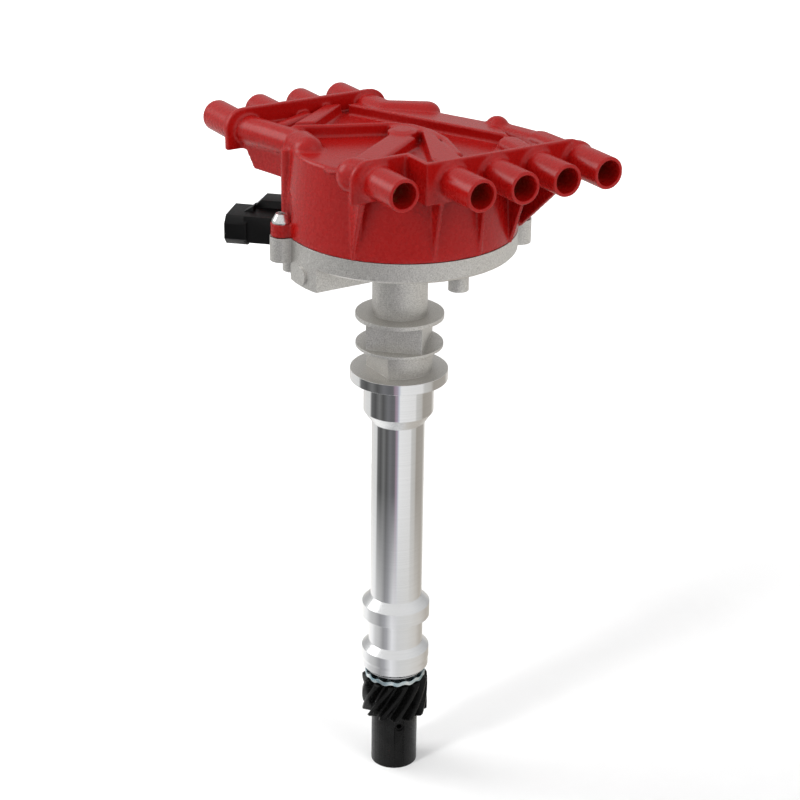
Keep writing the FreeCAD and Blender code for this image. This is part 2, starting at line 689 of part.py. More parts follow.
def connector_pins():
    middle_z = (SHELL_LOW + SHELL_HIGH) / 2
    half = CONNECTOR_PIN / 2
    floor = SHELL_END - SHELL_DEPTH
    pins = []
    for index in range(CONNECTOR_PINS):
        y = (index - (CONNECTOR_PINS - 1) / 2) * CONNECTOR_PITCH
        pin = block(floor - 3, floor + CONNECTOR_PIN_LENGTH, y - half, y + half,
                    middle_z - half, middle_z + half)
        pins.append(turned(pin, SENSOR_ANGLE))
    return Part.makeCompound(pins)


def sensor_screws():
    base_top = BOWL_FLOOR + SENSOR_BASE_THICK
    screws = []
    for x, y in sensor_screw_places():
        shank = cylinder(SENSOR_SCREW_R, BOWL_FLOOR - SENSOR_SCREW_LENGTH, base_top, x, y)
        head = cylinder(SENSOR_SCREW_HEAD_R, base_top, base_top + SENSOR_SCREW_HEAD, x, y)
        screws.append(fused([shank, head]))
    return Part.makeCompound(screws)


def hexagon(radius, z_low, z_high, x, y):
    outline = [polar(radius, 60 * corner) for corner in range(6)]
    return prism([(x + px, y + py) for px, py in outline], z_low, z_high)


def cap_screw(x, y):
    shank = cylinder(SCREW_R, BOSS_TOP - SCREW_LENGTH, BOSS_TOP, x, y)
    band = cylinder(SCREW_HEAD_R, BOSS_TOP, BOSS_TOP + SCREW_HEAD_BAND, x, y)
    dome_height = SCREW_HEAD_HEIGHT - SCREW_HEAD_BAND
    dome = Part.makeCone(SCREW_HEAD_R, SCREW_HEAD_TOP_R, dome_height,
                         Vector(x, y, BOSS_TOP + SCREW_HEAD_BAND))
    top = BOSS_TOP + SCREW_HEAD_HEIGHT
    return fused([shank, band, dome]).cut(hexagon(SOCKET_R, top - SOCKET_DEPTH, top + 1, x, y))


def rotor_screw_places():
    return [polar(ROTOR_SCREW_RADIUS, ROTOR_ANGLE + side * 90) for side in (-1, 1)]


def rotor_carrier():
    disc = cylinder(CARRIER_R, CARRIER_Z, ROTOR_Z)
    holes = [cylinder(ROTOR_SCREW_R, CARRIER_Z - 1, ROTOR_Z + 1, x, y) for x, y in rotor_screw_places()]
    return disc.cut(fused([cylinder(SHAFT_R, CARRIER_Z - 1, ROTOR_Z + 1)] + holes))


def rotor_body():
    deck_top = ROTOR_Z + ROTOR_THICK
    disc = cylinder(ROTOR_R, ROTOR_Z, deck_top)
    disc = disc.makeChamfer(ROTOR_CHAMFER, level_edges(disc, deck_top))
    hub = cylinder(ROTOR_HUB_R, ROTOR_Z, ROTOR_HUB_TOP)
    arm = block(0, ROTOR_ARM_REACH, -ROTOR_ARM_HALF, ROTOR_ARM_HALF, ROTOR_Z, ROTOR_HUB_TOP)
    body = fused([disc, hub, turned(arm, ROTOR_ANGLE)])
    cuts = [cylinder(SHAFT_R, ROTOR_Z - 1, SHAFT_TOP)]
    cuts += [cylinder(ROTOR_SCREW_R, ROTOR_Z - 1, deck_top + 1, x, y) for x, y in rotor_screw_places()]
    return body.cut(fused(cuts))


def rotor_blade():
    strip = block(-BLADE_HALF, BLADE_REACH, -BLADE_HALF, BLADE_HALF,
                  ROTOR_HUB_TOP, ROTOR_HUB_TOP + BLADE_THICK)
    tip = block(ROTOR_ARM_REACH + BLADE_TIP_GAP, BLADE_REACH, -BLADE_HALF, BLADE_HALF,
                ROTOR_HUB_TOP - BLADE_TIP_DROP, ROTOR_HUB_TOP + BLADE_THICK)
    return turned(fused([strip, tip]), ROTOR_ANGLE)


def rotor_contact():
    base = ROTOR_HUB_TOP + BLADE_THICK
    button = cylinder(CONTACT_R, base, base + CONTACT_HEIGHT)
    return button.makeChamfer(CONTACT_CHAMFER, level_edges(button, base + CONTACT_HEIGHT))


def rotor_screws():
    deck_top = ROTOR_Z + ROTOR_THICK
    screws = []
    for x, y in rotor_screw_places():
        shank = cylinder(ROTOR_SCREW_R, CARRIER_Z, deck_top, x, y)
        head = cylinder(ROTOR_SCREW_HEAD_R, deck_top, deck_top + ROTOR_SCREW_HEAD, x, y)
        screws.append(fused([shank, head]))
    return Part.makeCompound(screws)


def contact_place(index):
    return polar(CONTACT_RING_R, CONTACT_START - 45.0 * index)


def cap_contact(index):
    x, y = contact_place(index)
    return cylinder(CONTACT_POST_R, CEILING_Z - CONTACT_POST_LENGTH, CEILING_Z + CONTACT_SEAT, x, y)


def towers():
    # each tower is its place along X, its flange face and the side it points to
    places = []
    for index in range(TOWER_COUNT):
        places.append((FRONT_FIRST_X + TOWER_PITCH * index, FLANGE_Y, -1))
    for index in range(TOWER_COUNT):
        places.append((BACK_FIRST_X + TOWER_PITCH * index, FLANGE_Y, 1))
    places.append((COIL_X, COIL_FLANGE_Y, -1))
    return places


def along_tower(profile, place):
    # profile is (radius, distance out from the flange face)
    x, flange_y, side = place
    points = [Vector(radius, reach, 0) for radius, reach in profile]
    body = face_of(points).revolve(Vector(0, 0, 0), Vector(0, 1, 0), 360)
    if side < 0:
        body.rotate(Vector(0, 0, 0), Vector(0, 0, 1), 180)
    body.translate(Vector(x, side * flange_y, TOWER_Z))
    return body


def tower_outside(place):
    return along_tower([
        (0, -FLANGE_THICK),
        (TOWER_R + TOWER_FOOT, -FLANGE_THICK),
        (TOWER_R + TOWER_FOOT, TOWER_FOOT),
        (TOWER_R, TOWER_FOOT),
        (TOWER_R, TOWER_LENGTH),
        (0, TOWER_LENGTH),
    ], place)


def tower_bore(place):
    # the wide bore for the plug, over a narrower seat that the terminal fills
    floor = TOWER_LENGTH - TOWER_BORE_DEPTH
    seat = floor + TERMINAL_LENGTH
    return along_tower([
        (0, floor),
        (TERMINAL_R, floor),
        (TERMINAL_R, seat),
        (TOWER_BORE_R, seat),
        (TOWER_BORE_R, TOWER_LENGTH + 1),
        (0, TOWER_LENGTH + 1),
    ], place)


def tower_terminal(place):
    floor = TOWER_LENGTH - TOWER_BORE_DEPTH
    return along_tower([
        (0, floor),
        (TERMINAL_R, floor),
        (TERMINAL_R, floor + TERMINAL_LENGTH),
        (TERMINAL_R - TERMINAL_WALL, floor + TERMINAL_LENGTH),
        (TERMINAL_R - TERMINAL_WALL, floor + TERMINAL_WALL),
        (0, floor + TERMINAL_WALL),
    ], place)


def flange(x_low, x_high, y_face, side, round_low_x, round_high_x):
    # an upright plate with its outer top corners rounded
    radius = FLANGE_ROUND
    z_low = FLANGE_LOW
    z_high = FLANGE_TOP
    cos45 = math.cos(math.radians(45))
    edges = []
    left = radius if round_low_x else 0.0
    right = radius if round_high_x else 0.0
    start = Vector(x_low, 0, z_low)
    edges.append(Part.makeLine(start, Vector(x_low, 0, z_high - left)))
    if round_low_x:
        middle = Vector(x_low + radius * (1 - cos45), 0, z_high - radius * (1 - cos45))
        edges.append(Part.Arc(Vector(x_low, 0, z_high - radius), middle,
                              Vector(x_low + radius, 0, z_high)).toShape())
    edges.append(Part.makeLine(Vector(x_low + left, 0, z_high), Vector(x_high - right, 0, z_high)))
    if round_high_x:
        middle = Vector(x_high - radius * (1 - cos45), 0, z_high - radius * (1 - cos45))
        edges.append(Part.Arc(Vector(x_high - radius, 0, z_high), middle,
                              Vector(x_high, 0, z_high - radius)).toShape())
    edges.append(Part.makeLine(Vector(x_high, 0, z_high - right), Vector(x_high, 0, z_low)))
    edges.append(Part.makeLine(Vector(x_high, 0, z_low), start))
    plate = Part.Face(Part.Wire(edges)).extrude(Vector(0, FLANGE_THICK, 0))
    plate.translate(Vector(0, -y_face if side < 0 else y_face - FLANGE_THICK, 0))
    return plate


def flanges():
    front_right = LAST_FRONT_X + FRONT_FLANGE_RIGHT
    back_left = BACK_FIRST_X - BACK_FLANGE_LEFT
    back_right = LAST_BACK_X + BACK_FLANGE_RIGHT
    coil_left = COIL_X - COIL_FLANGE_LEFT
    step_right = STEP_X + FLANGE_THICK
    return [
        flange(STEP_X, front_right, FLANGE_Y, -1, False, True),
        flange(back_left, back_right, FLANGE_Y, 1, True, True),
        flange(coil_left, step_right, COIL_FLANGE_Y, -1, True, False),
        block(STEP_X, step_right, -FLANGE_Y, -COIL_FLANGE_BACK, FLANGE_LOW, FLANGE_TOP),
    ]


def fin(x, drop):
    # an upright fin that narrows from the underside of the front flange to the seam
    wall_y = -math.sqrt(BOWL_R ** 2 - x ** 2)
    front_y = -FLANGE_Y + FIN_INSET
    top = FLANGE_LOW + FLANGE_THICK
    outline = [
        (wall_y - FIN_INSET, BOWL_TOP + FIN_INSET), (front_y, FLANGE_LOW - drop), (front_y, top),
        (wall_y + CAP_WALL, top), (wall_y + CAP_WALL, BOWL_TOP + FIN_INSET),
    ]
    points = [Vector(x, y, z) for y, z in outline]
    return face_of(points).extrude(Vector(FIN_THICK, 0, 0))


def coil_fin():
    # the fin under the coil tower narrows to nothing at the seam
    top = FLANGE_LOW + FLANGE_THICK
    foot = BOWL_TOP + FIN_INSET
    upper = [Vector(x, y, top) for x, y in COIL_FIN_TOP + COIL_FIN_TOP[:1]]
    lower = [Vector(x, y, foot) for x, y in COIL_FIN_FOOT + COIL_FIN_FOOT[:1]]
    return Part.makeLoft([Part.makePolygon(lower), Part.makePolygon(upper)], True, True)


def back_web():
    # the upright web under the first back conduit, with a bevelled corner below the flange
    low = CAP_TOP - WEB_DROP
    outer = [(BACK_FIRST_X + WEB_START, FLANGE_Y - FIN_INSET)] + WEB_BENDS
    inner = [(x + WEB_THICK, y) for x, y in outer]
    body = prism(outer + inner[::-1], low, TOWER_Z - TUBE_LAP)
    corner = [(WEB_BEVEL_FOOT, low - 1), (WEB_BEVEL_FOOT, low), (WEB_BEVEL_TOP, FLANGE_LOW),
              (FLANGE_Y, FLANGE_LOW), (FLANGE_Y, low - 1)]
    points = [Vector(-2 * BOWL_R, y, z) for y, z in corner]
    return body.cut(face_of(points).extrude(Vector(2 * BOWL_R, 0, 0)))


def behind_flange(shape, flange_y, side):
    # what would reach through a flange is cut off inside it
    reach = FLANGE_TOP - FLANGE_LOW
    y_low = flange_y - FIN_INSET if side > 0 else -flange_y - reach
    y_high = y_low + reach + FIN_INSET
    return shape.cut(block(-2 * BOWL_R, 2 * BOWL_R, y_low, y_high, FLANGE_LOW - reach, FLANGE_TOP))


def ridge(path, half_width, rise, rounding):
    return run(path, half_width, CAP_TOP - RIDGE_FOOT, CAP_TOP + rise, rounding)


def plateau(outline, rise, rounding):
    return raised(outline, CAP_TOP - RIDGE_FOOT, CAP_TOP + rise, rounding)


def tubes():
    # the conduits that stand free of the deck beside the first back tower and the coil tower
    rounded = CONDUIT_R - TUBE_CREASE
    low = TOWER_Z - CONDUIT_R
    high = TOWER_Z + CONDUIT_R
    start = (BACK_FIRST_X + TUBE_SHIFT, FLANGE_BACK + 1)
    tube = run([start] + TUBE_BENDS, CONDUIT_R, low, high, rounded, rounded)
    lobe_x, lobe_y = TUBE_BENDS[-1]
    lobe_path = [(lobe_x + 1, lobe_y + LOBE_LENGTH), (lobe_x, lobe_y + LOBE_R - CONDUIT_R)]
    lobe = run(lobe_path, LOBE_R, TOWER_Z - LOBE_R, high, rounded, rounded)
    elbow_r = TOWER_R + TOWER_FOOT - FIN_INSET
    rounded = elbow_r - TUBE_CREASE
    bend_x, bend_y = COIL_BEND
    elbow_path = [(COIL_X, -COIL_FLANGE_BACK - 1), (COIL_X + bend_x, -COIL_FLANGE_Y + bend_y)]
    elbow = run(elbow_path, elbow_r, TOWER_Z - elbow_r, TOWER_Z + elbow_r, rounded, rounded)
    return [behind_flange(tube, FLANGE_Y, 1), lobe, behind_flange(elbow, COIL_FLANGE_Y, -1)]


def side_ridges():
    # from the last front tower past a bend to the ball
    low = TOWER_Z - CONDUIT_R
    rounded = ROUND_EDGE * CONDUIT_R
    start = (LAST_FRONT_X, -FLANGE_BACK - 1)
    first = run([start, SIDE_BEND], CONDUIT_R, low, CAP_TOP + SIDE_RISE, rounded, rounded)
    second = run([SIDE_BEND, BALL_PLACE], BALL_R, low, CAP_TOP + LINK_RISE, rounded, rounded)
    ball = Part.makeSphere(BALL_R, Vector(*BALL_PLACE, CAP_TOP + BALL_RISE))
    return [behind_flange(first, FLANGE_Y, -1), second, ball]


def long_ridge():
    # a straight crest over a steep front face, with its top falling gently to the back
    (x0, y0), (x1, y1) = LONG_CREST
    low = CAP_TOP - RIDGE_FOOT
    high = CAP_TOP + LONG_RIDGE_RISE
    outline = [(0, low), (0, high), (LONG_RIDGE_WIDTH, high - LONG_RIDGE_FALL), (LONG_RIDGE_WIDTH, low)]
    points = [Vector(0, across, z) for across, z in outline]
    body = face_of(points).extrude(Vector(math.hypot(x1 - x0, y1 - y0), 0, 0))
    body.rotate(Vector(0, 0, 0), Vector(0, 0, 1), math.degrees(math.atan2(y1 - y0, x1 - x0)))
    body.translate(Vector(x0, y0, 0))
    end_x, end_y = LONG_RIDGE_END
    far_x = 2 * BOWL_R
    beyond = [(x1, y1), (end_x, end_y), (far_x, end_y), (far_x, -FLANGE_Y), (x1, -FLANGE_Y)]
    return body.cut(prism(beyond, low - 1, high + 1))


def conduits():
    # the moulded ridges that carry the conductors from the middle of the cap to the towers
    inner = FLANGE_BACK + 1
    stub_x = LAST_FRONT_X - TOWER_PITCH + STUB_SHIFT
    stub_path = [(stub_x, -inner), (stub_x + STUB_SHIFT, STUB_END)]
    stub = ridge(stub_path, STUB_HALF, STUB_RISE, ROUND_EDGE * STUB_HALF)
    back_path = [(LAST_BACK_X, inner)] + BACK_BENDS
    back_ridge = ridge(back_path, BACK_RIDGE_HALF, BACK_RIDGE_RISE, SOFT_EDGE * BACK_RIDGE_HALF)
    wedge_foot = [(WEDGE[-1][0], -inner), (WEDGE[0][0], -inner)]
    return tubes() + side_ridges() + [
        ridge(LOW_RIDGE, LOW_RIDGE_HALF, LOW_RIDGE_RISE, SOFT_EDGE * LOW_RIDGE_HALF),
        plateau(FLAT_RIDGE, FLAT_RIDGE_RISE, CRISP_EDGE * LOW_RIDGE_HALF),
        ridge(CREST, CREST_HALF, CREST_RISE, ROUND_EDGE * CREST_HALF),
        plateau(PLATEAU, PLATEAU_RISE, CRISP_EDGE * CREST_HALF),
        ridge(ARCH, ARCH_HALF, ARCH_RISE, SOFT_EDGE * ARCH_HALF),
        plateau(wedge_foot + WEDGE, WEDGE_RISE, CRISP_EDGE * ARCH_HALF),
        behind_flange(back_ridge, FLANGE_Y, 1),
        long_ridge(),
        behind_flange(stub, FLANGE_Y, -1),
        plateau(COIL_RIDGE, COIL_RIDGE_RISE, CRISP_EDGE * CONDUIT_R),
    ]


def deck():
    # the level plate that joins the top of the cap to its flanges
    inner = FLANGE_BACK + 1
    coil_inner = COIL_FLANGE_BACK + 1
    half = CAP_TOP_R / 2
    right = LAST_BACK_X + CONDUIT_R
    coil_right = STEP_X + 1
    outlines = [
        [(STEP_X, -inner), (LAST_FRONT_X, -inner), (LAST_FRONT_X, -half), (0, 0), (STEP_X, 0)],
        [(BACK_FIRST_X, inner), (BACK_FIRST_X, half), (0, 0), (LAST_BACK_X, 0), (right, inner)],
        [(COIL_X - TOWER_R, -coil_inner), (coil_right, -coil_inner), (coil_right, 0), (COIL_X, 0)],
    ]
    return [prism(outline, CEILING_Z, CAP_TOP) for outline in outlines]


def ledge():
    # a thin tab just under the deck's edge, beside the coil conduit
    top = CAP_TOP - LEDGE_THICK
    return prism(LEDGE_OUTLINE, top - LEDGE_THICK, top)


def cap_outside():
    dome = revolved([
        (0, CAP_TOP),
        (CAP_TOP_R - 1, CAP_TOP),
        (CAP_TOP_R, CAP_TOP - 1),
        (BOWL_R, BOWL_TOP + 3),
        (BOWL_R, BOWL_TOP),
        (0, BOWL_TOP),
    ])
    # the dome stays low in the corner before the coil flange
    corner = block(-2 * BOWL_R, STEP_X, -2 * BOWL_R, -COIL_FLANGE_Y, FLANGE_LOW, CAP_TOP + 1)
    pieces = [dome.cut(corner)] + deck() + flanges() + conduits()
    pieces.append(cylinder(CENTRE_BOSS_R, CAP_TOP - 1, CAP_TOP + CENTRE_BOSS_RISE))
    pieces.append(cylinder(CENTRE_DISC_R, CAP_TOP - 1, CAP_TOP + CENTRE_BOSS_RISE + CENTRE_DISC_RAISE))
    pieces += [fin(x, drop) for x, drop in zip(FIN_FACES, FIN_DROPS)]
    pieces += [back_web(), coil_fin(), ledge()]
    for angle in LUG_ANGLES:
        x, y = polar(LUG_RADIUS, angle)
        pieces.append(cylinder(CAP_BOSS_R, BOWL_TOP, BOSS_TOP, x, y))
        web = block(BOWL_R - CAP_WALL / 2, LUG_RADIUS, -CAP_BOSS_R, CAP_BOSS_R, BOWL_TOP, BOSS_TOP)
        pieces.append(turned(web, angle))
        column_x, column_y = polar(BOWL_R - COLUMN_R + COLUMN_STAND, angle - COLUMN_TURN)
        pieces.append(cylinder(COLUMN_R, BOWL_TOP, CAP_TOP - 1, column_x, column_y))
    return joined(pieces + [tower_outside(place) for place in towers()])


def distributor_cap():
    # the inside is cut last, so that no conduit or fin reaches into it
    cavity = revolved([
        (0, BOWL_TOP - 1),
        (BOWL_R - CAP_WALL, BOWL_TOP - 1),
        (BOWL_R - CAP_WALL, BOWL_TOP + REGISTER_HEIGHT + AXIAL_GAP),
        (CEILING_R, BOWL_TOP + REGISTER_HEIGHT + AXIAL_GAP),
        (CEILING_R, CEILING_Z),
        (BRUSH_BOSS_R, CEILING_Z),
        (BRUSH_BOSS_R, BOSS_LOW),
        (0, BOSS_LOW),
    ])
    cuts = [cavity, cylinder(BRUSH_R + BRUSH_RUNNING_GAP, BOSS_LOW - 1, CAP_TOP + 2)]
    cuts += [tower_bore(place) for place in towers()]
    cuts += [cap_contact(index) for index in range(2 * TOWER_COUNT)]
    for x, y in lug_places():
        cuts.append(cylinder(SCREW_R + SCREW_HOLE_GAP, BOWL_TOP - 1, BOSS_TOP + 1, x, y))
        cuts.append(cylinder(SCREW_HEAD_R + SCREW_HOLE_GAP, BOSS_TOP, BOSS_TOP + SCREW_HEAD_ROOM, x, y))
    body = cap_outside()
    for cut in cuts:
        body = body.cut(cut)
    return body


def carbon_brush():
    body = cylinder(BRUSH_R, BRUSH_Z, BRUSH_Z + BRUSH_LENGTH)
    return body.makeChamfer(BRUSH_CHAMFER, level_edges(body, BRUSH_Z))


def brush_spring():
    # a wire of four flat sides keeps this hidden coil light
    low = BRUSH_Z + BRUSH_LENGTH
    high = CAP_TOP + 2
    coil_r = BRUSH_R - SPRING_WIRE_R - SPRING_SIDE_GAP
    height = high - low - 2 * SPRING_WIRE_R
    path = Part.makeHelix(height / SPRING_TURNS, height, coil_r)
    path.translate(Vector(0, 0, low + SPRING_WIRE_R))
    corners = [polar(SPRING_WIRE_R, 90 * corner) for corner in range(5)]
    section = Part.makePolygon([Vector(coil_r + x, 0, low + SPRING_WIRE_R + z) for x, z in corners])
    return Part.Wire(path.Edges).makePipeShell([section], True, True)


PARTS = {
    "housing": housing,
    "upper_bushing": lambda: bushing(BUSHING_TOP - TOP_BUSHING_LENGTH, BUSHING_TOP),
    "lower_bushing": lambda: bushing(HOUSING_BOTTOM, HOUSING_BOTTOM + LOW_BUSHING_LENGTH),
    "distributor_cap": distributor_cap,
    "cap_screw_left": lambda: cap_screw(*lug_places()[0]),
    "cap_screw_right": lambda: cap_screw(*lug_places()[1]),
    "brush_spring": brush_spring,
    "position_sensor": position_sensor,
    "connector_pins": connector_pins,
    "sensor_screws": sensor_screws,
    "shaft": shaft,
    "drive_gear": drive_gear,
    "roll_pin": roll_pin,
    "shim_washer": shim_washer,
    "dimpled_washer": dimpled_washer,
    "shutter_wheel": shutter_wheel,
    "rotor_carrier": rotor_carrier,
    "rotor_body": rotor_body,
    "rotor_blade": rotor_blade,
    "rotor_contact": rotor_contact,
    "rotor_screws": rotor_screws,
    "carbon_brush": carbon_brush,
    "coil_terminal": lambda: tower_terminal(towers()[-1]),
}

for number, place in enumerate(towers()[:-1], start=1):
    PARTS["plug_terminal_%d" % number] = lambda place=place: tower_terminal(place)

for number in range(2 * TOWER_COUNT):
    PARTS["cap_contact_%d" % (number + 1)] = lambda number=number: cap_contact(number)

for name, make in PARTS.items():
    shape = make()
    shape.exportStep("parts/%s.step" % name)
    solids = len(shape.Solids)
    print("%-18s solids %d valid %s volume %.1f" % (name, solids, shape.isValid(), shape.Volume))
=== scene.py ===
import json
import math

import bmesh
import bpy
import numpy as np
from mathutils import Matrix, Vector


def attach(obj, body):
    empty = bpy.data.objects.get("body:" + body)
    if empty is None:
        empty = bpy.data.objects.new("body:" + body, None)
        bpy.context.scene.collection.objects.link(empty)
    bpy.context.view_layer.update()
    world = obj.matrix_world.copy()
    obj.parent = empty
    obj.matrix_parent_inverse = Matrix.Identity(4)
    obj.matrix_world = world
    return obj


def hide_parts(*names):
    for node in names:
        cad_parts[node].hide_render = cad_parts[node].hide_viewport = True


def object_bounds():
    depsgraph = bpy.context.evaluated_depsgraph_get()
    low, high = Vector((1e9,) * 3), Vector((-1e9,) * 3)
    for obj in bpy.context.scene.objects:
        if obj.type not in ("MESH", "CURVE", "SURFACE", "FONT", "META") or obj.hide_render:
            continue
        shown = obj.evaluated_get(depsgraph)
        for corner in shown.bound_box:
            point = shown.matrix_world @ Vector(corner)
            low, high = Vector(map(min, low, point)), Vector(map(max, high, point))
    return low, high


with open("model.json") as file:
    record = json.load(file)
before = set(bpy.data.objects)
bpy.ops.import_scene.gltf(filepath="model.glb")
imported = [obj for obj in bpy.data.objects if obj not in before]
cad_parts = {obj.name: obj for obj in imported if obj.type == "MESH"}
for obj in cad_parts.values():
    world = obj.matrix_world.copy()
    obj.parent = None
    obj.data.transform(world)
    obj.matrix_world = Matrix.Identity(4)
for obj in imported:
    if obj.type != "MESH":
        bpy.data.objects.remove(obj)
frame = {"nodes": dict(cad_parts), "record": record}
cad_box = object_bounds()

# The photograph's camera, fitted to the CAD model, in metres, pixels and degrees
IMAGE_SIZE = 800
FOCAL_PIXELS = 2187.2
SENSOR_MM = 36.0
CAMERA_AWAY = 0.900
CAMERA_UP = 0.3789
CAMERA_PITCH = 23.45
CAMERA_ROLL = 0.81
CAMERA_PAN = 0.04
VIEW_YAW = 31.54

# Light levels: the sky as it lights, and as the gloss mirrors it behind and before the object
SKY_LIGHT = 0.50
SKY_MIRROR_BACK = 0.50
SKY_MIRROR_FRONT = 0.85
KEY_WATTS = 4.9
SIDE_WATTS = 1.1
LEFT_WATTS = 1.8
RIGHT_WATTS = 7.0
STREAK_WATTS = 7.0
# The floor's added white for the camera, near the object and far from it, and those distances
FLOOR_LIFT = 0.10
FLOOR_LIFT_FAR = 0.9
FLOOR_NEAR_M = 0.22
FLOOR_FAR_M = 1.1
FLOOR_REACH_M = 4.0

# What the metal and the cap mirror of the cards round them, as degrees round from the camera
# (left is minus) and colour: at a distance, close to the foot, and farther out than both
ROUND_FAR = [
    (-180, (0.50, 0.47, 0.43)), (-150, (0.85, 0.84, 0.82)), (-106, (0.80, 0.80, 0.79)),
    (-98, (0.17, 0.17, 0.17)), (-80, (0.10, 0.10, 0.10)), (-64, (0.20, 0.20, 0.20)),
    (-50, (0.10, 0.10, 0.10)), (-34, (0.19, 0.19, 0.20)), (-21, (0.15, 0.15, 0.16)),
    (-12, (0.16, 0.16, 0.17)), (-9, (0.36, 0.27, 0.33)), (-2, (0.42, 0.36, 0.44)),
    (2, (0.62, 0.66, 0.74)), (6, (0.92, 0.92, 0.92)), (56, (0.86, 0.85, 0.84)),
    (62, (0.64, 0.63, 0.61)),
    (80, (0.58, 0.56, 0.53)), (88, (0.40, 0.37, 0.33)), (135, (0.44, 0.41, 0.37)),
    (155, (0.80, 0.77, 0.73)), (180, (0.50, 0.47, 0.43)),
]
ROUND_NEAR = [
    (-180, (0.95, 0.94, 0.92)), (-145, (1.15, 1.14, 1.12)), (-115, (1.05, 1.05, 1.05)),
    (-92, (0.72, 0.72, 0.72)), (-75, (0.62, 0.62, 0.62)), (-52, (0.36, 0.36, 0.37)),
    (-36, (0.44, 0.44, 0.46)), (-14, (0.90, 0.90, 0.92)), (8, (0.74, 0.74, 0.74)),
    (50, (0.76, 0.75, 0.73)), (90, (0.70, 0.67, 0.63)), (120, (0.54, 0.50, 0.45)),
    (150, (0.55, 0.51, 0.46)), (180, (0.80, 0.77, 0.73)),
]
ROUND_WIDE = [
    (-180, (0.60, 0.59, 0.57)), (-90, (0.60, 0.60, 0.60)), (-50, (0.42, 0.42, 0.42)),
    (-15, (0.20, 0.20, 0.20)), (15, (0.20, 0.20, 0.20)), (50, (0.55, 0.55, 0.54)),
    (90, (0.90, 0.89, 0.87)), (180, (0.60, 0.59, 0.57)),
]
ROUND_NEAR_M = 0.15
ROUND_FAR_M = 0.31
ROUND_WIDE_FROM_M = 0.50
ROUND_WIDE_M = 0.62
CARDS_INNER_M = 0.035
CARDS_OUTER_M = 2.4
CARDS_LIFT_M = 0.001
CARDS_STEPS = 48

# Edge rounding on the hard parts
WELD = 0.00001
EDGE_ROUND = 0.00025
EDGE_SEGMENTS = 3
EDGE_ANGLE = 32

# The grid that softens the moulded cap: its pitch, the passes over all of it, then the passes
# that fill the feet of the ridges, with their strengths on the deck, on the sides and on crests
CAP_GRID = 0.0004
CAP_SOFTENING = 4
CAP_SOFTENING_STRENGTH = 0.5
FOOT_PASSES = 34
FOOT_STRENGTH_DECK = 0.5
FOOT_STRENGTH_SIDE = 0.16
CREST_STRENGTH = 0.03
NORMALS_EVERY = 4
DECK_Z = 0.1066
FLANGE_INNER_Y = 0.0520

# The first back conduit and its end are a little fatter than their CAD forms: places, level, radius
TUBE_PATH = [(-0.0470, 0.0522), (-0.0433, 0.0400), (-0.0406, 0.0290), (-0.0390, 0.0225)]
TUBE_LEVEL = 0.1072
TUBE_RADIUS = 0.0062
LOBE_PATH = [(-0.0386, 0.0185), (-0.0398, 0.0110)]
LOBE_LEVEL = 0.1070
LOBE_RADIUS = 0.0070
# The deck's corner that is drawn in under that conduit
DECK_CORNER = (-0.0493, 0.0241)
DECK_CORNER_REACH = 0.0005
DECK_CORNER_IN = -0.0425

# The housing's turned surfaces: all below the seat, and the collar's rim beyond its radius
SEAT_Z = 0.00002
RIM_TOP_Z = 0.00462
RIM_INNER_R = 0.0212

# The pressed washer over the gear, within the levels and radius of its CAD node
WASHER_INNER = 0.0070
WASHER_HALF_THICK = 0.0010
WASHER_SINK = 0.0004
WASHER_WAVE = 0.00038
WASHER_WAVES = 14
WASHER_STEPS = 240

nodes_in = frame["nodes"]
turn = Matrix.Rotation(math.radians(-VIEW_YAW), 3, "Z")


def from_photo(right, away, up):
    # a place given to the photograph's right, away from its camera and up, in the CAD frame
    return turn @ Vector((right, away, up))


def make_camera():
    pitch = math.radians(CAMERA_PITCH)
    pan = math.radians(CAMERA_PAN)
    roll = math.radians(CAMERA_ROLL)
    level_part = math.cos(pitch)
    forward = Vector((math.sin(pan) * level_part, math.cos(pan) * level_part, -math.sin(pitch)))
    level = Vector((math.cos(pan), -math.sin(pan), 0))
    above = level.cross(forward)
    across = math.cos(roll) * level + math.sin(roll) * above
    upward = -math.sin(roll) * level + math.cos(roll) * above
    rotation = Matrix((turn @ across, turn @ upward, turn @ -forward)).transposed().to_4x4()
    rotation.translation = from_photo(0, -CAMERA_AWAY, CAMERA_UP)
    data = bpy.data.cameras.new("camera")
    data.sensor_width = SENSOR_MM
    data.lens = FOCAL_PIXELS / IMAGE_SIZE * SENSOR_MM
    data.clip_start = 0.01
    camera = bpy.data.objects.new("camera", data)
    camera.matrix_world = rotation
    bpy.context.scene.collection.objects.link(camera)
    bpy.context.scene.camera = camera


make_camera()


